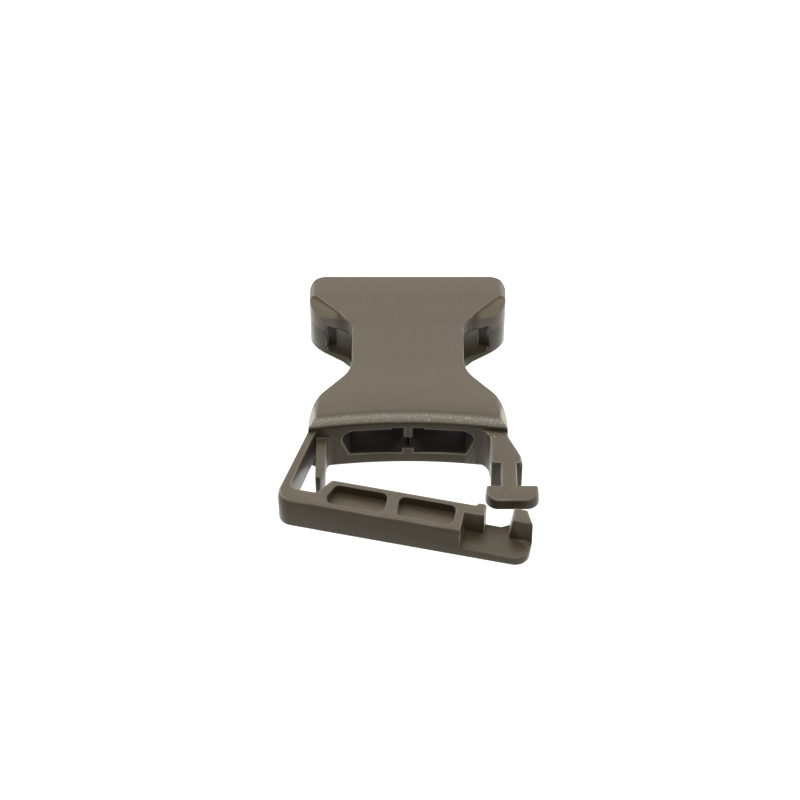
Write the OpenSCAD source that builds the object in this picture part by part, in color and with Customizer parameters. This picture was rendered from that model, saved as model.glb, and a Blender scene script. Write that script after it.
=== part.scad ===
// Socket half of a side release buckle with a split web bar, one moulding.
// X runs across the webbing, Y points to the mouth, Z is up.
// The origin is on the bottom face, in the middle of the waist.

/* [Webbing] */
// Width of the webbing
web_w = 25; // [24:0.5:26]
// Room for the webbing between the stop finger and the latch arm
web_play = 3.55; // [3:0.05:4]

/* [Socket] */
// Thickness of the socket
socket_h = 11.8; // [11.4:0.1:13]
// Thickness of the bottom plate
floor_t = 2; // [1.6:0.1:2.4]
// Rise of the sill under the front windows
sill_t = 0.7; // [0.4:0.1:1]
// Thickness of the top plate
roof_t = 3.2; // [2.8:0.1:3.6]
// Width across the mouth ring
mouth_w = 35.6; // [34:0.1:38]
// From the middle of the waist to the edge of the mouth
mouth_len = 18.8; // [16:0.1:22]
// Radius of the mouth's corners, seen from above
mouth_corner = 3; // [1:0.1:4]
// Rounding along the sides of the mouth ring
ring_edge = 1.2; // [0.6:0.1:2]
// Width of the waist
waist_w = 19.8; // [18:0.1:21]
// Straight stretch of the waist
waist_len = 4.6; // [3:0.1:6]
// Width across the shoulder
shoulder_w = 34.6; // [34:0.1:36]
// From the middle of the waist to the middle of the front wall
shoulder_len = 16.1; // [15.5:0.1:18]
// Rounding of the shoulder along its front and its sides
shoulder_edge = 2.2; // [1.6:0.1:2.4]
// Rounding of the front wall's bottom edge
sole_edge = 0.6; // [0.2:0.1:1.2]
// Radius of the front wall, which is hollow when seen from above
front_bow = 100; // [80:1:200]

/* [Side lobes] */
// Length of the mouth ring beside the waist
ring_len = 11.55; // [10:0.05:13]
// Slant of the lobes' front faces
lobe_slant = 24; // [16:1:30]
// Radius of the lobes' outer corners, seen from above
lobe_corner = 5.2; // [3:0.1:5.6]
// Radius of the fillets between the waist and the lobes
waist_fillet = 3; // [2:0.1:4]
// Radius of the crease between the top plate and the lobes
crease_r = 17.1; // [16:0.1:18]
// Lap of that crease's circle over the waist
crease_lap = 1; // [0.8:0.05:1.2]
// From the middle of the crease's circle forward to the middle of the waist
crease_mid = 0.6; // [0:0.1:1.2]
// Distance of the finger dip's upper edge from the lobe's inner corner, along X and Y
dip_back = 4.2; // [3:0.1:5]
// Fall of the finger dip on each lobe
dip_angle = 31; // [20:1:34]
// Side wall of the ring at its front face
lobe_wall = 2.8; // [2:0.05:3.5]
// Width of the upright lock faces inside the lobes
lock_w = 1.5; // [1:0.1:2]
// Depth of the lock faces behind the lobes' front
lock_back = 1.7; // [1:0.1:2.5]
// Draft of the side walls in front of the lock faces
lock_draft = 0.6; // [0.2:0.1:0.8]
// Flare of the tunnel's walls at the mouth
mouth_flare = 1.6; // [1:0.1:2]

/* [Front windows] */
// Slant of the windows' outer ends
window_slant = 20; // [5:1:24]
// Radius of the windows' outer upper corners
window_corner = 2.2; // [0.8:0.1:2.6]
// Width of the divider's post
divider_w = 1.46; // [1:0.02:2]
// Gap between the divider's two thin walls
divider_gap = 0.5; // [0.3:0.05:0.6]
// Depth of the divider behind the front wall
divider_len = 5; // [3:0.1:6]
// Width of the guide groove in the ceiling
groove_w = 5.6; // [3:0.1:7]

/* [Latch arm] */
// Height of the arms and the web bar
arm_h = 6.2; // [5.6:0.1:6.6]
// Width of the latch arm at its end
latch_arm_w = 5.4; // [4.6:0.1:6]
// From the middle of the front wall to the latch arm's end
latch_arm_len = 8.55; // [8:0.05:9]
// Fillet between the latch arm and the front wall
latch_fillet = 2.8; // [2:0.1:3]
// Step of the latch arm's end beside the neck
neck_step = 1.6; // [1.2:0.05:1.8]
// Width of the neck
neck_w = 2.7; // [2.4:0.05:3.3]
// Length of the latch head
head_len = 3.45; // [2.8:0.05:3.6]
// Thickness of the latch head
head_t = 2.35; // [1.8:0.05:2.6]
// Reach of the latch head beyond the neck, on its inner side
head_reach_in = 2.8; // [2.3:0.05:3]
// Reach of the latch head beyond the neck, on its outer side
head_reach_out = 3.75; // [2.8:0.05:4]
// Radius of the latch head's front corners
head_corner = 2.2; // [1:0.1:2.4]

/* [Web bar] */
// Turn of the bar away from the closed position
open_angle = 13; // [12:0.5:16]
// From the middle of the front wall to the flex arm's root
root_len = 2.4; // [2:0.1:2.6]
// Gap between the flex arm's root and the stop finger
flex_gap = 1.1; // [0.9:0.05:1.4]
// From the flex arm's root to the bar's inner face
bar_reach = 8.8; // [8.5:0.05:9.3]
// Width of the web bar
bar_w = 6.45; // [6:0.05:7]
// Radius of the bar's outer corners
bar_corner = 2.6; // [1.5:0.1:3]
// Thickness of the flex arm at its root
flex_root_t = 1.35; // [1.2:0.05:1.6]
// Thickness of the flex arm where it meets the bar
flex_tip_t = 1.8; // [1.5:0.05:2]
// Slant of the flex arm's outer face to the bar
flex_slant = 7.3; // [6:0.1:10]
// Width of the bar's slim end beside the flex arm
slim_w = 3.15; // [2.8:0.05:3.6]
// Length of the slim end beyond the flex arm
slim_len = 4.75; // [4:0.05:5.4]
// Slant of the notch beside the stop finger
notch_slant = 30; // [15:1:40]
// Height of the upper part of the bar and the arms, above their ledge
ledge_h = 1.2; // [0.8:0.1:1.6]
// Step of that ledge
ledge_w = 0.25; // [0.1:0.05:0.4]

/* [Bar pockets] */
// Depth of the pockets in the bar's top
pocket_depth = 1.75; // [1:0.05:2.5]
// Wall between the pockets and the bar's two long faces
pocket_wall = 1; // [0.8:0.05:1.2]
// Wall between the pockets and the bar's end
pocket_end_wall = 1.5; // [1:0.05:2.5]
// Distance of the first pocket from the notch
pocket_start = 1.45; // [1.3:0.05:3]
// Slant of the first pocket's end wall
pocket_slant = 19; // [0:1:25]
// Rib between the pockets
pocket_rib = 1.95; // [1.2:0.05:3]
// Radius of the pockets' corners
pocket_corner = 1.2; // [0.6:0.1:1.4]

/* [Bar end] */
// Thickness of the end plate
end_plate_t = 1.7; // [1.4:0.05:2]
// Clear gap between the two posts
post_gap = 4.45; // [4.2:0.05:5]
// Shift of the posts beyond the neck, which the flex arm's bend takes up
post_shift = 1; // [0.6:0.05:1.3]
// Width of the post beside the bar
near_post_w = 3.3; // [2.6:0.05:3.6]
// Width of the post at the bar's end
far_post_w = 3.95; // [3.2:0.05:4.2]
// Thickness of the posts in front of the bar's inner face
post_t = 2.05; // [1.6:0.05:2.3]
// Rise of the far post behind the bar's inner face
post_rise = 0.85; // [0.4:0.05:1]
// Rise of the bump on the near post
bump_rise = 0.6; // [0.3:0.05:0.8]
// Draft of the bump on the near post, and lap of the end plate beside the far post
post_draft = 0.45; // [0:0.05:0.6]
// Lean of the far post's inner side
post_lean = 8; // [0:1:10]
// Turn of that side away from the bar's end
post_twist = 6; // [0:1:10]
// Slant of the far post's outer side
post_slant = 27; // [10:1:30]
// Slack between the posts and the latch head when the bar is closed
latch_slack = 0.35; // [0.2:0.05:0.6]

/* [Stop finger] */
// Width of the stop finger
finger_w = 1.65; // [1.4:0.05:1.8]
// From the middle of the front wall to the finger's tip
finger_len = 10.4; // [9:0.1:10.8]
// Length of the chamfer at the finger's tip
finger_chamfer = 1.9; // [1:0.1:2.5]
// Drop of the finger's top below the arms
finger_drop = 1.75; // [1:0.05:2.5]
// Fillet between the finger and the front wall
finger_fillet = 1.6; // [1:0.1:2]

/* [Hidden] */
$fn = 64;
// Overrun of every cutting shape
over = 1;
// Rounding of small corners that a finger or the webbing touches
soft_edge = 0.4;
// Depth by which the arms are rooted in the front wall
rooting = 1.6;
// Growth of each corner's arc, so that it crosses the two sides cleanly
arc_slip = 1.001;

// Levels of the arms and of the hall between the plates
deck_z = socket_h - shoulder_edge;
arm_z = deck_z - arm_h;
ledge_z = deck_z - ledge_h;
head_z = deck_z - head_t;
hall_top = socket_h - roof_t;
sill_z = floor_t + sill_t;

// Half widths
hip_x = waist_w / 2;
side_x = shoulder_w / 2;
ring_x = mouth_w / 2;
slot_x = (web_w + web_play) / 2;
window_x = slot_x - latch_fillet;

// Waist and ring along Y
ring_y = mouth_len - ring_len;
waist_y = waist_len / 2;
// Slope between the waist and the shoulder, and the radii at its two ends
hip_angle = 42;
hip_r = 6;
shoulder_r = 11;
hip_y = -waist_y - hip_r * tan(hip_angle / 2);
flank_y = hip_y - (side_x - hip_x) / tan(hip_angle);
// Inner end of the shoulder's side walls
cheek_y = flank_y + 2.6;

// Latch arm and latch head
arm_end_y = -shoulder_len - latch_arm_len;
neck_x = slot_x + neck_step;
head_back_y = -shoulder_len - root_len - bar_reach - post_t - latch_slack;

// Root of the flex arm, about which the bar is turned
root_x = -slot_x - finger_w - flex_gap;
root_y = -shoulder_len - root_len;

// Places on the turned bar: U runs along it from the root, V points to the mouth
inner_v = -bar_reach;
outer_v = inner_v - bar_w;
slim_v = outer_v + slim_w;
post_v = inner_v - post_t;
rise_v = inner_v + post_rise;
bump_v = inner_v + bump_rise;
post_mid = neck_x + neck_w / 2 - root_x + post_shift;
near_post_end = post_mid - post_gap / 2;
step_u = near_post_end - near_post_w;
far_post_u = post_mid + post_gap / 2;
end_u = far_post_u + far_post_w;
far_post_side = far_post_u - post_draft;
far_post_back = end_u - (rise_v - post_v) * tan(post_slant);
slim_u = flex_inner(slim_v) + slim_len;

function front_y(x) = -shoulder_len - front_bow + sqrt(front_bow * front_bow - x * x);
function ring_front(x) = ring_y + (x - hip_x) * tan(lobe_slant);
function flex_outer(v) = -flex_root_t / 2 + v * tan(flex_slant);
function flex_inner(v) =
    flex_outer(v) + flex_root_t + (flex_tip_t - flex_root_t) * v / slim_v;
function unit(v) = v / norm(v);
function cross2(a, b) = a.x * b.y - a.y * b.x;

// What an arc of radius r leaves of corner b on a path a, b, c, and a little beyond b
module corner_spandrel(a, b, c, r) {
    to_a = unit(a - b);
    to_c = unit(c - b);
    inward = unit(to_a + to_c);
    half = acos(to_a * to_c) / 2;
    reach = r / tan(half);
    difference() {
        polygon([b - inward * r / 4, b + to_a * reach, b + to_c * reach]);
        translate(b + inward * r / sin(half)) circle(r * arc_slip);
    }
}

// A polygon, counter-clockwise, of rows with x, y and the corner's radius
module rounded(rows) {
    last = len(rows) - 1;
    corners = [for (row = rows) [row.x, row.y]];
    before = [for (i = [0:last]) corners[i == 0 ? last : i - 1]];
    after = [for (i = [0:last]) corners[i == last ? 0 : i + 1]];
    turns = [for (i = [0:last]) cross2(corners[i] - before[i], after[i] - corners[i])];
    difference() {
        union() {
            polygon(corners);
            for (i = [0:last]) if (rows[i][2] > 0 && turns[i] < 0)
                corner_spandrel(before[i], corners[i], after[i], rows[i][2]);
        }
        for (i = [0:last]) if (rows[i][2] > 0 && turns[i] > 0)
            corner_spandrel(before[i], corners[i], after[i], rows[i][2]);
    }
}

module both_sides() {
    children();
    mirror([1, 0, 0]) children();
}

module both_faces() {
    children();
    translate([0, 0, socket_h]) mirror([0, 0, 1]) children();
}

module layer(z0, z1) {
    translate([0, 0, z0]) linear_extrude(z1 - z0) children();
}

// A section in X and Z drawn out along Y from y0 to y1
module along_y(y0, y1) {
    translate([0, y1, 0]) rotate([90, 0, 0]) linear_extrude(y1 - y0) children();
}

module bar_frame() {
    translate([root_x, root_y, 0]) rotate([0, 0, -open_angle]) children();
}

// A slab as long as the socket, rounded along its four long edges
module rounded_slab(half_w, edge) {
    along_y(front_y(side_x) - over, mouth_len + over)
        rounded([[-half_w, 0, edge], [half_w, 0, edge],
                 [half_w, socket_h, edge], [-half_w, socket_h, edge]]);
}

// The mouth ring with its two lobes, seen from above
module ring_plan() {
    both_sides()
        rounded([[0, ring_front(0), 0], [ring_x, ring_front(ring_x), lobe_corner],
                 [ring_x, mouth_len, mouth_corner], [0, mouth_len, 0]]);
}

// The waist and the shoulder, seen from above, up to the crease of the ring
module waist_plan() {
    front = front_y(side_x) - over;
    back = ring_front(ring_x);
    lobe_x = ring_x - lobe_corner;
    both_sides()
        rounded([[0, front, 0], [side_x, front, 0], [side_x, flank_y, shoulder_r],
                 [hip_x, hip_y, hip_r], [hip_x, ring_y, waist_fillet],
                 [lobe_x, ring_front(lobe_x), 0], [lobe_x, back, 0], [0, back, 0]]);
}

// Everything behind the bowed front wall, whose long edges are rounded
module behind_front_wall() {
    back_r = front_bow + shoulder_len + mouth_len + over;
    translate([0, -shoulder_len - front_bow, 0]) rotate_extrude($fn = 360)
        rounded([[front_bow, 0, sole_edge], [back_r, 0, 0],
                 [back_r, socket_h, 0], [front_bow, socket_h, shoulder_edge]]);
}

// The dip that a fingertip finds on a lobe, bounded by a sloping crease
module finger_dip() {
    depth = 3;
    reach = ring_x + mouth_len;
    intersection() {
        translate([hip_x + crease_r - crease_lap, -crease_mid, socket_h - depth])
            cylinder(h = depth + over, r1 = crease_r - depth, r2 = crease_r + over, $fn = 96);
        translate([hip_x + dip_back, ring_y + dip_back, socket_h])
            rotate([0, 0, -45]) rotate([0, dip_angle, 0])
                translate([-over, -reach / 2, 0]) cube(reach);
        translate([0, ring_y - over, 0]) cube(reach);
    }
}

// The tunnel through the mouth ring, with the lock faces that hold the plug's side arms
module mouth_tunnel() {
    wide = ring_x - lobe_wall;
    outer = wide - lock_draft;
    tight = outer - lock_w;
    lock_y = ring_front(wide) + lock_back;
    end_y = mouth_len + over;
    corner = 1.2;
    intersection() {
        layer(floor_t - over, hall_top + over) both_sides()
            polygon([[0, waist_y], [wide, waist_y], [wide, ring_front(wide)], [outer, lock_y],
                     [tight, lock_y], [tight, mouth_len - 2 * mouth_flare],
                     [tight + mouth_flare, mouth_len], [tight + mouth_flare, end_y], [0, end_y]]);
        along_y(waist_y, mouth_len + over)
            rounded([[-wide, floor_t, corner], [wide, floor_t, corner],
                     [wide, hall_top, corner], [-wide, hall_top, corner]]);
    }
}

// The hall between the plates, open on both sides of the waist
module waist_hall() {
    translate([-ring_x - over, cheek_y, floor_t])
        cube([mouth_w + 2 * over, ring_y - cheek_y, hall_top - floor_t]);
}

// The groove in the ceiling that guides the plug
module guide_groove() {
    depth = 0.33;
    translate([-groove_w / 2, front_y(0) - over, hall_top - over])
        cube([groove_w, mouth_len - front_y(0) + 2 * over, depth + over]);
}

// The two front windows in one, down to the hall
module front_windows() {
    upright = 0.3;
    bend_r = 1.2;
    bend_z = hall_top - window_corner - upright;
    floor_x = window_x - (bend_z - sill_z) * tan(window_slant);
    along_y(front_y(window_x) - over, cheek_y + over)
        rounded([[-floor_x, sill_z, soft_edge], [floor_x, sill_z, soft_edge],
                 [window_x, bend_z, bend_r], [window_x, hall_top, window_corner],
                 [-window_x, hall_top, window_corner], [-window_x, bend_z, bend_r]]);
}

// The divider between the windows: a foot, two thin walls and a post
module window_divider() {
    foot_w = 2.1;
    foot_h = 1.2;
    wall_t = 0.3;
    post_z = hall_top - 2.1;
    intersection() {
        along_y(front_y(0) - over, front_y(0) + divider_len) {
            translate([-foot_w / 2, sill_z - over]) square([foot_w, foot_h + over]);
            both_sides() translate([divider_gap / 2, sill_z])
                square([wall_t, hall_top - sill_z]);
            translate([-divider_w / 2, post_z]) square([divider_w, hall_top + over - post_z]);
        }
        behind_front_wall();
    }
}

// The hollow body: two plates, the shoulder, the waist and the mouth ring
module socket_shell() {
    difference() {
        union() {
            intersection() {
                linear_extrude(socket_h) ring_plan();
                rounded_slab(ring_x, ring_edge);
            }
            intersection() {
                linear_extrude(socket_h) waist_plan();
                rounded_slab(side_x, shoulder_edge);
                behind_front_wall();
            }
        }
        both_faces() both_sides() finger_dip();
        mouth_tunnel();
        waist_hall();
        guide_groove();
        front_windows();
    }
    window_divider();
}

// The latch arm seen from above, with its outer side drawn in by a step at the end
module latch_arm_plan(step) {
    arm_x = slot_x + latch_arm_w - step;
    wall_y = front_y(window_x);
    flare_start = 1.65;
    flare_end = 1.6;
    rounded([[slot_x, arm_end_y, soft_edge], [arm_x, arm_end_y, soft_edge],
             [arm_x, arm_end_y + flare_end, 2.5], [side_x, wall_y - flare_start, 3],
             [side_x, wall_y + rooting, 0], [window_x, wall_y + rooting, 0],
             [window_x, wall_y, 0], [slot_x, wall_y, latch_fillet]]);
}

// The latch head seen from above, with its two ends drawn in by a step
module latch_head_plan(step) {
    x0 = neck_x - head_reach_in + step;
    x1 = neck_x + neck_w + head_reach_out - step;
    front = head_back_y - head_len;
    rounded([[x0, front, head_corner], [x1, front, head_corner],
             [x1, head_back_y, soft_edge], [x0, head_back_y, soft_edge]]);
}

// The foot of a fillet between the front wall and an arm's side at x0, seen from above
module root_plan(x0, x1, r) {
    wall_y = front_y(x0 - r);
    front = wall_y - r - soft_edge;
    rounded([[x0, front, 0], [x1, front, 0], [x1, wall_y + rooting, 0],
             [x0 - r, wall_y + rooting, 0], [x0 - r, wall_y, 0], [x0, wall_y, r]]);
}

// The fixed arm, whose T-shaped head catches the bar's posts
module latch_arm() {
    layer(sole_edge, arm_z) root_plan(slot_x, side_x, latch_fillet);
    layer(arm_z, ledge_z) latch_arm_plan(0);
    layer(ledge_z, deck_z) latch_arm_plan(ledge_w);
    layer(head_z, deck_z) translate([neck_x, head_back_y - over])
        square([neck_w, arm_end_y - head_back_y + 2 * over]);
    layer(head_z, ledge_z) latch_head_plan(0);
    layer(ledge_z, deck_z) latch_head_plan(ledge_w);
}

// The finger that keeps the webbing off the flex arm
module stop_finger() {
    left = -slot_x - finger_w;
    tip_y = -shoulder_len - finger_len;
    wall_y = front_y(slot_x - finger_fillet);
    layer(sole_edge, arm_z)
        mirror([1, 0, 0]) root_plan(slot_x, slot_x + finger_w, finger_fillet);
    layer(arm_z, deck_z - finger_drop)
        rounded([[left, tip_y, soft_edge], [left + finger_w / 2, tip_y, 0],
                 [-slot_x, tip_y + finger_chamfer, 0], [-slot_x, wall_y, finger_fillet],
                 [finger_fillet - slot_x, wall_y, 0],
                 [finger_fillet - slot_x, wall_y + rooting, 0], [left, wall_y + rooting, 0]]);
}

// The flex arm and the full-height part of the bar, drawn in by a step all round the outside
module bar_plan(step) {
    root_v = root_len - over / 4;
    notch_u = slim_u + (inner_v - slim_v) * tan(notch_slant);
    notch_r = 0.9;
    flex_fillet = 1.3;
    rounded([[flex_outer(root_v), root_v, 0],
             [flex_outer(outer_v) + step, outer_v + step, bar_corner],
             [step_u, outer_v + step, 0], [step_u, inner_v, 0],
             [notch_u, inner_v, notch_r], [slim_u, slim_v, notch_r],
             [flex_inner(slim_v), slim_v, flex_fillet], [flex_inner(root_v), root_v, 0]]);
}

// The two pockets moulded into the bar's top
module bar_pockets() {
    v0 = outer_v + ledge_w + pocket_wall;
    v1 = inner_v - pocket_wall;
    start = slim_u + pocket_start;
    lean = (v1 - v0) * tan(pocket_slant);
    end = step_u - pocket_end_wall;
    middle = (start + lean / 2 + end) / 2;
    rib_0 = middle - pocket_rib / 2;
    rib_1 = middle + pocket_rib / 2;
    r = pocket_corner;
    layer(deck_z - pocket_depth, deck_z + over) {
        rounded([[start, v0, r], [rib_0, v0, r], [rib_0, v1, r], [start + lean, v1, r]]);
        rounded([[rib_1, v0, r], [end, v0, r], [end, v1, r], [rib_1, v1, r]]);
    }
}

// The post at the bar's end, whose inner side leans away from the neck
module far_post() {
    reach = 2 * arm_h;
    difference() {
        layer(arm_z, deck_z)
            rounded([[far_post_side, post_v, 0], [end_u, post_v, 0],
                     [far_post_back, rise_v, soft_edge], [far_post_side, rise_v, 0]]);
        translate([far_post_side, rise_v, arm_z + end_plate_t])
            rotate([0, post_lean, post_twist]) translate([-reach, -reach, -reach])
                cube([reach, 2 * reach, 2 * reach]);
    }
}

// The thin end of the bar, with two posts that stand astride the neck
module bar_end() {
    inside = step_u - over;
    bump = 1.4;
    layer(arm_z, arm_z + end_plate_t)
        rounded([[inside, outer_v, 0], [end_u, outer_v, bar_corner], [end_u, post_v, 0],
                 [far_post_back, rise_v, soft_edge], [far_post_side, rise_v, 0],
                 [far_post_side, inner_v, 0], [inside, inner_v, 0]]);
    layer(arm_z, deck_z)
        rounded([[inside, post_v, 0], [near_post_end, post_v, soft_edge],
                 [near_post_end, bump_v, soft_edge], [near_post_end - bump, bump_v, 0],
                 [near_post_end - bump - post_draft, inner_v, 0], [inside, inner_v, 0]]);
    far_post();
}

// The bar on its flex arm, swung open
module web_bar() {
    bar_frame() {
        difference() {
            union() {
                layer(arm_z, ledge_z) bar_plan(0);
                layer(ledge_z, deck_z) bar_plan(ledge_w);
            }
            bar_pockets();
        }
        bar_end();
    }
}

module buckle_socket() {
    color("#6f6a5b") union() {
        socket_shell();
        latch_arm();
        stop_finger();
        web_bar();
    }
}

buckle_socket();
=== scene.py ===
"""Looks of the socket half of a side release buckle, moulded in one piece.

Places are in the part's own frame: X across the webbing, Y to the mouth, Z up. Blender works in
metres, and a value whose name ends in mm is in millimetres. Angles are in degrees.
"""

import logging
import math
from dataclasses import dataclass, field
from enum import Enum
from typing import Any

import bmesh
import bpy
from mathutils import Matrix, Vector


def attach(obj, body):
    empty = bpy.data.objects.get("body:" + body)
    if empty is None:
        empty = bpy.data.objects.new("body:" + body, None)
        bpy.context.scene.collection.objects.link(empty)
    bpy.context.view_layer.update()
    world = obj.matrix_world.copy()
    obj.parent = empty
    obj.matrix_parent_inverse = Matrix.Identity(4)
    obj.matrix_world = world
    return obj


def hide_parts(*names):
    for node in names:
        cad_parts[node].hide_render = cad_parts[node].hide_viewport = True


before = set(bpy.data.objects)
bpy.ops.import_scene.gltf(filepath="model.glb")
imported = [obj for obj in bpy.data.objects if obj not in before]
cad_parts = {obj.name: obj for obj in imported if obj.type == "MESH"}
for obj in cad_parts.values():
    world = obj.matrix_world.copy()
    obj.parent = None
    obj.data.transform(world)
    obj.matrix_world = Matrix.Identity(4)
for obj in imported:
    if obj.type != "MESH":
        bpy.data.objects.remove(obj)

LOG = logging.getLogger("buckle")
MM = 0.001
NODE = "buckle_socket"
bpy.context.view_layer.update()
WHITE = (1.0, 1.0, 1.0, 1.0)


# Shared helpers


def linear(hex_colour: str) -> tuple[float, float, float, float]:
    """Turn an sRGB hex colour to linear light.

    Args:
        hex_colour: Six hex digits with a leading hash.

    Returns:
        Red, green, blue and an alpha of one.
    """
    channels = [int(hex_colour[i:i + 2], 16) / 255 for i in (1, 3, 5)]
    red, green, blue = (
        c / 12.92 if c <= 0.04045 else ((c + 0.055) / 1.055) ** 2.4 for c in channels
    )
    return red, green, blue, 1.0


def add_node(
    tree: bpy.types.NodeTree,
    kind: str,
    settings: dict[str, Any] | None = None,
    inputs: dict[str | int, Any] | None = None,
) -> bpy.types.Node:
    """Add a node with its settings, its values and its links.

    Args:
        tree: The tree that takes the node.
        kind: The node's type name.
        settings: Attributes to set on the node.
        inputs: A value for each named input, or the output socket that feeds it.

    Returns:
        The new node.
    """
    node = tree.nodes.new(kind)
    for name, value in (settings or {}).items():
        setattr(node, name, value)
    for name, value in (inputs or {}).items():
        if isinstance(value, bpy.types.NodeSocket):
            tree.links.new(value, node.inputs[name])
        else:
            node.inputs[name].default_value = value
    return node


# The moulded plastic


class Axis(Enum):
    """Directions along which a zone of the surface is bounded."""

    X = "across the webbing"
    Y = "to the mouth"
    Z = "up"
    ASIDE = "away from the centre plane"


@dataclass(frozen=True)
class SoftStep:
    """A smooth rise along an axis, from nought at its start to one at its end."""

    axis: Axis
    start_mm: float
    end_mm: float


@dataclass(frozen=True)
class Zone:
    """A stretch of the surface with soft borders, which lies past the end of all its steps."""

    steps: tuple[SoftStep, ...]

    def build(
        self, tree: bpy.types.NodeTree, place: dict[Axis, bpy.types.NodeSocket],
    ) -> bpy.types.NodeSocket:
        """Add the nodes that tell how far a point belongs to the zone.

        Args:
            tree: The material's tree.
            place: The point's coordinate in metres on each axis.

        Returns:
            One in the zone, nought outside it, and a smooth change between.
        """
        share: bpy.types.NodeSocket | float = 1.0
        for step in self.steps:
            risen = add_node(
                tree, "ShaderNodeMapRange", {"interpolation_type": "SMOOTHSTEP"},
                {"Value": place[step.axis], "From Min": step.start_mm * MM,
                 "From Max": step.end_mm * MM},
            )
            share = add_node(
                tree, "ShaderNodeMath", {"operation": "MULTIPLY"},
                {0: share, 1: risen.outputs["Result"]},
            ).outputs[0]
        return share


@dataclass(frozen=True)
class SurfaceSignals:
    """Values at a point of the surface that its colour, gloss and relief share."""

    cloud: bpy.types.NodeSocket
    speck: bpy.types.NodeSocket
    grain: bpy.types.NodeSocket
    painted_highlight: bpy.types.NodeSocket
    glints_and_grit: bpy.types.NodeSocket
    hall: bpy.types.NodeSocket


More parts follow.
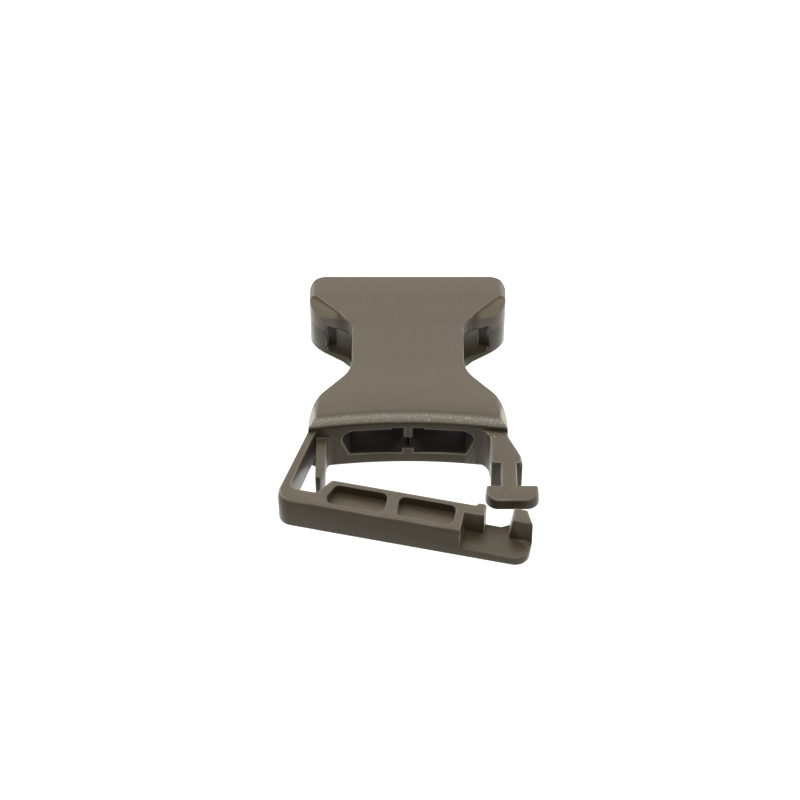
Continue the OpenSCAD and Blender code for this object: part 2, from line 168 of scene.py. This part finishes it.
@dataclass(frozen=True)
class MouldedAcetal:
    """Acetal, injection moulded in a tool with a fine spark-eroded finish.

    It is a dense waxy plastic, dyed through: a mid gloss under a fine grain, brighter where
    the surface turns away. A lighter colour on the shoulder, the dips and the broken edges is
    painted highlight, bright specks are painted glints, and the hall holds painted shade.
    """

    name: str = "moulded_acetal"
    ior: float = 1.48
    gloss: float = 0.15
    sheen: float = 0.3
    sheen_roughness: float = 0.25

    # The grain varies the roughness a little to both sides, and the hall stays dull
    roughness: float = 0.31
    smoother: float = 0.05
    rougher: float = 0.08
    hall_roughness: float = 0.7

    colour: str = "#393225"
    cloud_colour: str = "#3c3527"
    # Painted highlight: a lighter colour on the shoulder's rounding and the finger dips, standing
    # in for light falling there
    painted_highlight_colour: str = "#7d786b"
    # Painted glints: bright specks on the shoulder and at the root
    painted_glint_colour: str = "#c4c0b4"
    # Painted highlight along the broken edges
    painted_edge_highlight_colour: str = "#8f8a7e"
    # Painted shade: a dark colour inside the hall behind the front windows
    painted_hall_shade_colour: str = "#1b170f"

    # Real spark-eroded grain and the glints that the painted specks stand for are under a tenth
    # of a millimetre wide, and a pixel of the picture covers 0.17 mm, so both are drawn coarser,
    # to show at all
    grain_mm: float = 0.24
    grain_detail: float = 2.0
    grain_range: tuple[float, float] = (0.3, 0.7)
    grain_depth_mm: float = 0.04
    grain_strength: float = 0.7
    speck_mm: float = 0.27
    speck_detail: float = 1.0
    speck_range: tuple[float, float] = (0.58, 0.8)
    speck_depth_mm: float = 0.12

    # Slow drifts of the dye, which also break up the painted highlight along the edges
    cloud_mm: float = 9.0
    cloud_detail: float = 3.0
    patch_range: tuple[float, float] = (0.35, 0.6)
    patch_least: float = 0.35
    edge_layer: str = "painted_edge_highlight"

    # The painted highlight on the finger dips and the painted glints at the finger's root are
    # weaker than on the shoulder, which counts as one
    dip_highlight: float = 0.24
    root_glints: float = 0.4
    dips: Zone = Zone((
        SoftStep(Axis.ASIDE, 12.2, 13.4),
        SoftStep(Axis.Y, 1.0, 4.0),
        SoftStep(Axis.Y, 16.0, 14.0),
        SoftStep(Axis.Z, 11.75, 11.4),
        SoftStep(Axis.Z, 6.5, 7.5),
    ))
    shoulder: Zone = Zone((
        SoftStep(Axis.Y, -12.5, -14.5),
        SoftStep(Axis.Z, 11.72, 11.2),
        SoftStep(Axis.Z, 10.2, 10.7),
    ))
    root: Zone = Zone((
        SoftStep(Axis.Y, -17.5, -17.9),
        SoftStep(Axis.Y, -20.5, -18.0),
        SoftStep(Axis.Z, 9.3, 9.5),
        SoftStep(Axis.X, 11.5, 13.0),
    ))
    hall: Zone = Zone((
        SoftStep(Axis.Y, -16.1, -15.9),
        SoftStep(Axis.Z, 2.0, 2.2),
        SoftStep(Axis.Z, 9.0, 8.8),
        SoftStep(Axis.ASIDE, 12.9, 12.7),
    ))

    def read_surface(self, tree: bpy.types.NodeTree) -> SurfaceSignals:
        """Add the nodes for the noises and the zones.

        Args:
            tree: The material's tree.

        Returns:
            The values that the other methods share.
        """
        point = add_node(tree, "ShaderNodeTexCoord").outputs["Object"]
        cloud, speck, grain = (
            add_node(
                tree, "ShaderNodeTexNoise", {},
                {"Vector": point, "Scale": 1 / (width_mm * MM), "Detail": detail},
            ).outputs["Fac"]
            for width_mm, detail in (
                (self.cloud_mm, self.cloud_detail),
                (self.speck_mm, self.speck_detail),
                (self.grain_mm, self.grain_detail),
            )
        )
        x, y, z = add_node(tree, "ShaderNodeSeparateXYZ", {}, {"Vector": point}).outputs
        aside = add_node(tree, "ShaderNodeMath", {"operation": "ABSOLUTE"}, {0: x}).outputs[0]
        place = {Axis.X: x, Axis.Y: y, Axis.Z: z, Axis.ASIDE: aside}
        shoulder = self.shoulder.build(tree, place)
        # The first share paints a highlight on the dips and the shoulder; the second paints
        # glints, with real grit, on the root and the shoulder
        painted_highlight, glints_and_grit = (
            add_node(
                tree, "ShaderNodeMath", {"operation": "MULTIPLY_ADD", "use_clamp": True},
                {0: zone.build(tree, place), 1: paint_weight, 2: shoulder},
            ).outputs[0]
            for zone, paint_weight in ((self.dips, self.dip_highlight), (self.root, self.root_glints))
        )
        return SurfaceSignals(cloud, speck, grain, painted_highlight, glints_and_grit, self.hall.build(tree, place))

    def colour_surface(
        self, tree: bpy.types.NodeTree, signals: SurfaceSignals,
    ) -> bpy.types.NodeSocket:
        """Lay painted highlights, glints and edge highlights over the dyed plastic, and paint
        shade into the hall.

        Args:
            tree: The material's tree.
            signals: The surface's shared values.

        Returns:
            The colour.
        """
        speck_low, speck_high = self.speck_range
        few = add_node(
            tree, "ShaderNodeMapRange", {"interpolation_type": "SMOOTHSTEP"},
            {"Value": signals.speck, "From Min": speck_low, "From Max": speck_high},
        )
        painted_glints = add_node(
            tree, "ShaderNodeMath", {"operation": "MULTIPLY"},
            {0: signals.glints_and_grit, 1: few.outputs["Result"]},
        )
        patch_low, patch_high = self.patch_range
        patchy = add_node(
            tree, "ShaderNodeMapRange", {},
            {"Value": signals.cloud, "From Min": patch_low, "From Max": patch_high,
             "To Min": self.patch_least},
        )
        # The edge layer holds how strong the painted edge highlight is
        edges = add_node(tree, "ShaderNodeAttribute", {"attribute_name": self.edge_layer})
        rims = add_node(
            tree, "ShaderNodeMath", {"operation": "MULTIPLY"},
            {0: edges.outputs["Fac"], 1: patchy.outputs["Result"]},
        )
        colour: bpy.types.NodeSocket | tuple[float, ...] = linear(self.colour)
        for share, tone in (
            (signals.cloud, self.cloud_colour),
            # painted highlight on the shoulder and the dips
            (signals.painted_highlight, self.painted_highlight_colour),
            # painted glints on the shoulder and at the root
            (painted_glints.outputs[0], self.painted_glint_colour),
            # painted highlight along the broken edges
            (rims.outputs[0], self.painted_edge_highlight_colour),
            # painted shade inside the hall
            (signals.hall, self.painted_hall_shade_colour),
        ):
            colour = add_node(
                tree, "ShaderNodeMix", {"data_type": "RGBA"},
                {"Factor": share, "A": colour, "B": linear(tone)},
            ).outputs["Result"]
        return colour

    def roughen_surface(
        self, tree: bpy.types.NodeTree, signals: SurfaceSignals,
    ) -> bpy.types.NodeSocket:
        """Vary the roughness with the grain, and make the hall dull.

        Args:
            tree: The material's tree.
            signals: The surface's shared values.

        Returns:
            The roughness.
        """
        low, high = self.grain_range
        varied = add_node(
            tree, "ShaderNodeMapRange", {},
            {"Value": signals.grain, "From Min": low, "From Max": high,
             "To Min": self.roughness - self.smoother, "To Max": self.roughness + self.rougher},
        )
        return add_node(
            tree, "ShaderNodeMix", {},
            {"Factor": signals.hall, "A": varied.outputs["Result"], "B": self.hall_roughness},
        ).outputs["Result"]

    def raise_surface(
        self, tree: bpy.types.NodeTree, signals: SurfaceSignals,
    ) -> bpy.types.NodeSocket:
        """Raise the fine grain everywhere, and grit where the glints are painted.

        Args:
            tree: The material's tree.
            signals: The surface's shared values.

        Returns:
            The normal.
        """
        grain = add_node(
            tree, "ShaderNodeBump", {},
            {"Height": signals.grain, "Strength": self.grain_strength,
             "Distance": self.grain_depth_mm * MM},
        )
        return add_node(
            tree, "ShaderNodeBump", {},
            {"Height": signals.speck, "Strength": signals.glints_and_grit,
             "Distance": self.speck_depth_mm * MM, "Normal": grain.outputs["Normal"]},
        ).outputs["Normal"]

    def build(self) -> bpy.types.Material:
        """Build the material.

        Returns:
            The finished material.
        """
        material = bpy.data.materials.new(self.name)
        material.use_nodes = True
        tree = material.node_tree
        shader = tree.nodes["Principled BSDF"]
        shader.inputs["IOR"].default_value = self.ior
        shader.inputs["Specular IOR Level"].default_value = self.gloss
        shader.inputs["Sheen Weight"].default_value = self.sheen
        shader.inputs["Sheen Roughness"].default_value = self.sheen_roughness
        signals = self.read_surface(tree)
        tree.links.new(self.colour_surface(tree, signals), shader.inputs["Base Color"])
        tree.links.new(self.roughen_surface(tree, signals), shader.inputs["Roughness"])
        tree.links.new(self.raise_surface(tree, signals), shader.inputs["Normal"])
        return material


# The buckle


@dataclass
class SocketMoulding:
    """The whole half as it leaves the mould, with its edges broken.

    The ledges of the solid stand for the slope under the top edge of the arms, the bar and the
    latch head, which is made here.
    """

    name: str = "socket_moulding"
    finish: MouldedAcetal = field(default_factory=MouldedAcetal)

    # How the solid's triangles are merged, and what counts as level or sharp
    weld_mm: float = 0.0005
    flat_angle: float = 0.4
    level_mm: float = 0.01
    level_normal: float = 0.99
    shading_angle: float = 40.0
    gap_sides: int = 6

    # Heights of the level faces of the arms and the bar, and the finger's root
    deck_mm: float = 9.6
    ledge_mm: float = 8.4
    finger_top_mm: float = 7.85
    fillet_mm: float = 0.45
    front_mm: float = -20.0
    root_back_mm: float = -15.5

    # The latch head narrows a little towards its ledge
    head_mm: tuple[float, float] = (-33.3, -29.6)
    head_middle_mm: float = 17.7
    head_pinch: float = 0.972

    # Radii of the broken edges, and how strong the painted highlight is on each kind
    edge_angle: float = 28.0
    segments: int = 4
    edge_mm: float = 0.12
    highlit_edge_mm: float = 0.24
    window_highlight: float = 0.5
    top_highlight: float = 0.26
    plain_highlight: float = 0.14

    # The front windows' rims, and the hall behind them, whose edges stay as they are
    window_rim_mm: tuple[float, float] = (-16.9, -16.05)
    window_side_mm: float = 11.8
    window_sill_mm: float = 2.5
    hall_front_mm: float = -16.0
    hall_side_mm: float = 12.5
    hall_height_mm: tuple[float, float] = (2.2, 8.9)

    def at_height(self, vert: bmesh.types.BMVert, height_mm: float) -> bool:
        """Tell whether a vertex lies at a height, within a hundredth of a millimetre."""
        return abs(vert.co.z - height_mm * MM) < self.level_mm * MM

    def take_strip(self, ledges: list[bmesh.types.BMFace]) -> list[bmesh.types.BMFace]:
        """Take one strip of joined faces out of the ledges.

        Args:
            ledges: The faces of the ledges that are left, which lose the strip.

        Returns:
            The strip's faces, in the same order each run.
        """
        strip = []
        reach = [ledges.pop(0)]
        while reach:
            face = reach.pop(0)
            strip.append(face)
            for other in [other for edge in face.edges for other in edge.link_faces]:
                if other in ledges:
                    ledges.remove(other)
                    reach.append(other)
        return strip

    def slope_strip(self, shape: bmesh.types.BMesh, strip: list[bmesh.types.BMFace]) -> None:
        """Put a slope in the place of a strip and of the low wall above it.

        Args:
            shape: The merged solid, which is changed.
            strip: The faces of one ledge.
        """
        outer = []
        walls = []
        for edge in [edge for face in strip for edge in face.edges]:
            others = [face for face in edge.link_faces if face not in strip]
            if not others or others[0] in walls:
                continue
            if min(v.co.z for v in others[0].verts) > (self.ledge_mm - self.level_mm) * MM:
                walls.append(others[0])
            else:
                outer.append(edge)
        tops = [
            edge for face in walls for edge in face.edges
            if all(self.at_height(v, self.deck_mm) for v in edge.verts)
        ]
        bmesh.ops.delete(shape, geom=strip + walls, context="FACES")
        rims = [edge for edge in outer + tops if edge.is_valid]
        LOG.info("ledge: a slope between %d edges", len(rims))
        bmesh.ops.bridge_loops(shape, edges=rims)

    def slope_ledges(self, shape: bmesh.types.BMesh) -> None:
        """Turn each narrow ledge into a slope up to the edge of the top.

        Args:
            shape: The merged solid, which is changed.
        """
        ledges = [
            face for face in shape.faces
            if face.normal.z > self.level_normal
            and all(self.at_height(v, self.ledge_mm) for v in face.verts)
        ]
        while ledges:
            self.slope_strip(shape, self.take_strip(ledges))
        gaps = [edge for edge in shape.edges if edge.is_boundary]
        bmesh.ops.holes_fill(shape, edges=gaps, sides=self.gap_sides)
        self.pinch_head(shape)
        bmesh.ops.recalc_face_normals(shape, faces=shape.faces)

    def pinch_head(self, shape: bmesh.types.BMesh) -> None:
        """Draw the foot of the latch head's slope in towards its middle.

        Args:
            shape: The merged solid, which is changed.
        """
        low, high = self.head_mm
        middle = self.head_middle_mm * MM
        for vert in shape.verts:
            on_head = low * MM < vert.co.y < high * MM and vert.co.x > 0
            if on_head and self.at_height(vert, self.ledge_mm):
                vert.co.x = middle + (vert.co.x - middle) * self.head_pinch

    def round_edges(
        self, shape: bmesh.types.BMesh, edges: list[bmesh.types.BMEdge], radius_mm: float,
    ) -> list[bmesh.types.BMFace]:
        """Round some edges.

        Args:
            shape: The merged solid, which is changed.
            edges: The edges to round.
            radius_mm: How far the rounding reaches from each edge.

        Returns:
            The rounding's faces.
        """
        return bmesh.ops.bevel(
            shape, geom=edges, offset=radius_mm * MM, offset_type="OFFSET", affect="EDGES",
            segments=self.segments, profile=0.5, material=-1, clamp_overlap=False,
        )["faces"]

    def fill_roots(self, shape: bmesh.types.BMesh) -> None:
        """Round the inner corner where the finger's top meets the front wall.

        Args:
            shape: The merged solid, which is changed.
        """
        roots = []
        for edge in shape.edges:
            if len(edge.link_faces) != 2 or edge.is_convex:
                continue
            behind = edge.verts[0].co.y >= self.front_mm * MM
            before = all(v.co.y < self.root_back_mm * MM for v in edge.verts)
            level = all(self.at_height(v, self.finger_top_mm) for v in edge.verts)
            above = any(face.normal.z > self.level_normal for face in edge.link_faces)
            if behind and before and level and above:
                roots.append(edge)
        LOG.info("roots: %d edges", len(roots))
        self.round_edges(shape, roots, self.fillet_mm)

    def on_top(self, edge: bmesh.types.BMEdge) -> bool:
        """Tell whether an edge rims the tops of the arms and the bar, outside the pockets.

        Args:
            edge: An edge of the merged solid.

        Returns:
            Whether it does.
        """
        beside = [v for face in edge.link_faces for v in face.verts]
        pocket = any(self.at_height(v, self.finger_top_mm) for v in beside)
        return not pocket and all(self.at_height(v, self.deck_mm) for v in edge.verts)

    def on_window(self, edge: bmesh.types.BMEdge) -> bool:
        """Tell whether an edge rims a front window.

        Args:
            edge: An edge of the merged solid.

        Returns:
            Whether it does.
        """
        low, high = self.window_rim_mm
        return all(
            low * MM < v.co.y < high * MM
            and abs(v.co.x) < self.window_side_mm * MM
            and v.co.z > self.window_sill_mm * MM
            for v in edge.verts
        )

    def is_outside(self, edge: bmesh.types.BMEdge) -> bool:
        """Tell whether an edge lies outside the hall behind the front windows.

        Args:
            edge: An edge of the merged solid.

        Returns:
            Whether it does.
        """
        low, high = self.hall_height_mm
        return not all(
            v.co.y > self.hall_front_mm * MM
            and abs(v.co.x) < self.hall_side_mm * MM
            and low * MM < v.co.z < high * MM
            for v in edge.verts
        )

    def break_edges(self, shape: bmesh.types.BMesh) -> None:
        """Round the outer edges, the rubbed ones more than the others.

        Args:
            shape: The merged solid, which is changed.
        """
        angle = math.radians(self.edge_angle)
        layer = shape.faces.layers.float.new(self.finish.edge_layer)
        # Each kind of edge gets a painted highlight of its own strength in the edge layer
        for radius_mm, highlight, wanted in (
            (self.highlit_edge_mm, self.window_highlight, self.on_window),
            (self.highlit_edge_mm, self.top_highlight, self.on_top),
            (self.edge_mm, self.plain_highlight, self.is_outside),
        ):
            sharp = [
                edge for edge in shape.edges
                if edge.is_manifold and edge.is_convex and edge.calc_face_angle(0.0) > angle
                and wanted(edge) and self.is_outside(edge)
            ]
            for face in self.round_edges(shape, sharp, radius_mm):
                face[layer] = max(face[layer], highlight)

    def build(self) -> bpy.types.Object:
        """Build the moulding from a merged copy of the solid.

        Returns:
            The finished piece.
        """
        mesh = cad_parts[NODE].data.copy()
        mesh.materials.clear()
        mesh.name = self.name
        shape = bmesh.new()
        shape.from_mesh(mesh)
        bmesh.ops.remove_doubles(shape, verts=shape.verts, dist=self.weld_mm * MM)
        bmesh.ops.dissolve_degenerate(shape, dist=self.weld_mm * MM, edges=shape.edges)
        bmesh.ops.dissolve_limit(
            shape, angle_limit=math.radians(self.flat_angle), use_dissolve_boundaries=False,
            verts=shape.verts, edges=shape.edges,
        )
        self.slope_ledges(shape)
        self.fill_roots(shape)
        self.break_edges(shape)
        LOG.info("open edges: %d", sum(not edge.is_manifold for edge in shape.edges))
        for face in shape.faces:
            face.smooth = True
        shape.to_mesh(mesh)
        shape.free()
        piece = bpy.data.objects.new(self.name, mesh)
        bpy.context.collection.objects.link(piece)
        mesh.set_sharp_from_angle(angle=math.radians(self.shading_angle))
        mesh.materials.append(self.finish.build())
        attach(piece, "root")
        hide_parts(NODE)
        return piece


# The stage


@dataclass(frozen=True)
class WhitePaper:
    """Matt paper under an even light of its own.

    It shows as plain white, with no highlight and hardly any shadow on it.
    """

    name: str = "white_paper"
    colour: str = "#8c8c8c"
    roughness: float = 0.9
    gloss: float = 0.0
    glow: float = 1.05

    def build(self) -> bpy.types.Material:
        """Build the material.

        Returns:
            The finished material.
        """
        material = bpy.data.materials.new(self.name)
        material.use_nodes = True
        shader = material.node_tree.nodes["Principled BSDF"]
        shader.inputs["Base Color"].default_value = linear(self.colour)
        shader.inputs["Roughness"].default_value = self.roughness
        shader.inputs["Specular IOR Level"].default_value = self.gloss
        shader.inputs["Emission Color"].default_value = WHITE
        shader.inputs["Emission Strength"].default_value = self.glow
        return material


@dataclass(frozen=True)
class StudioFloor:
    """A wide pale sheet, a hair below the buckle's flat underside."""

    name: str = "studio_floor"
    size: float = 6.0
    drop_mm: float = 0.02
    finish: WhitePaper = WhitePaper()

    def build(self) -> bpy.types.Object:
        """Build the floor.

        Returns:
            The floor, marked as part of the stage.
        """
        shape = bmesh.new()
        bmesh.ops.create_grid(shape, x_segments=1, y_segments=1, size=self.size / 2)
        bmesh.ops.translate(shape, verts=shape.verts, vec=(0.0, 0.0, -self.drop_mm * MM))
        mesh = bpy.data.meshes.new(self.name)
        shape.to_mesh(mesh)
        shape.free()
        floor = bpy.data.objects.new(self.name, mesh)
        bpy.context.collection.objects.link(floor)
        mesh.materials.append(self.finish.build())
        return floor


@dataclass(frozen=True)
class Softbox:
    """A rectangular lamp that looks at the buckle, given by its evenly bright face."""

    name: str
    azimuth: float
    elevation: float
    distance: float
    width: float
    height: float
    radiance: float
    target: tuple[float, float, float] = (0.0, -0.008, 0.008)

    def build(self) -> bpy.types.Object:
        """Build the lamp.

        Returns:
            The lamp.
        """
        lamp = bpy.data.lights.new(self.name, "AREA")
        lamp.shape = "RECTANGLE"
        lamp.size = self.width
        lamp.size_y = self.height
        lamp.energy = self.radiance * math.pi * self.width * self.height
        holder = bpy.data.objects.new(self.name, lamp)
        bpy.context.collection.objects.link(holder)
        turn = math.radians(self.azimuth)
        lift = math.radians(self.elevation)
        away = Vector((
            math.sin(turn) * math.cos(lift), -math.cos(turn) * math.cos(lift), math.sin(lift),
        ))
        holder.location = Vector(self.target) + away * self.distance
        holder.rotation_euler = away.to_track_quat("Z", "Y").to_euler()
        return holder


@dataclass(frozen=True)
class StudioLight:
    """Soft white light from behind, above and both sides, with a faint glow from the room."""

    room_glow: float = 0.05
    lamps: tuple[Softbox, ...] = (
        Softbox(
            name="back_softbox", azimuth=180.0, elevation=50.0, distance=1.0,
            width=1.7, height=1.0, radiance=4.8,
        ),
        Softbox(
            name="top_softbox", azimuth=0.0, elevation=86.0, distance=1.0,
            width=0.4, height=0.5, radiance=8.0,
        ),
        Softbox(
            name="key_softbox", azimuth=0.0, elevation=57.0, distance=0.9,
            width=0.18, height=0.18, radiance=27.0,
        ),
        Softbox(
            name="left_softbox", azimuth=-132.0, elevation=20.0, distance=0.8,
            width=0.5, height=0.6, radiance=7.5,
        ),
        Softbox(
            name="right_softbox", azimuth=132.0, elevation=20.0, distance=0.8,
            width=0.5, height=0.6, radiance=7.5,
        ),
    )

    def build(self) -> None:
        """Light the room and set how the picture is developed."""
        scene = bpy.context.scene
        scene.view_settings.view_transform = "Standard"
        world = bpy.data.worlds.new("studio_light")
        world.use_nodes = True
        scene.world = world
        shade = world.node_tree.nodes["Background"]
        shade.inputs["Color"].default_value = WHITE
        shade.inputs["Strength"].default_value = self.room_glow
        for lamp in self.lamps:
            lamp.build()


@dataclass(frozen=True)
class PhotoCamera:
    """The camera, 47 degrees above the floor in front of the web bar."""

    name: str = "photo_camera"
    elevation: float = 47.0
    distance: float = 0.4348
    aim: tuple[float, float, float] = (-0.00139, -0.012, 0.0118)
    lens_mm: float = 112.5
    sensor_mm: float = 36.0
    nearest: float = 0.01

    def build(self) -> bpy.types.Object:
        """Build the camera and make it the scene's own.

        Returns:
            The camera.
        """
        data = bpy.data.cameras.new(self.name)
        data.lens = self.lens_mm
        data.sensor_width = self.sensor_mm
        data.clip_start = self.nearest
        camera = bpy.data.objects.new(self.name, data)
        bpy.context.collection.objects.link(camera)
        lift = math.radians(self.elevation)
        away = Vector((0.0, -math.cos(lift), math.sin(lift)))
        camera.location = Vector(self.aim) + away * self.distance
        camera.rotation_euler = away.to_track_quat("Z", "Y").to_euler()
        bpy.context.scene.camera = camera
        return camera


def main() -> None:
    """Build the stage and the buckle and report each piece."""
    logging.basicConfig(level=logging.INFO, format="%(name)s: %(message)s")
    PhotoCamera().build()
    StudioLight().build()
    floor = StudioFloor().build()
    buckle = SocketMoulding().build()
    for piece in (floor, buckle):
        mesh = piece.data
        LOG.info("%s: %d vertices, %d faces", piece.name, len(mesh.vertices), len(mesh.polygons))


if __name__ == "__main__":
    main()
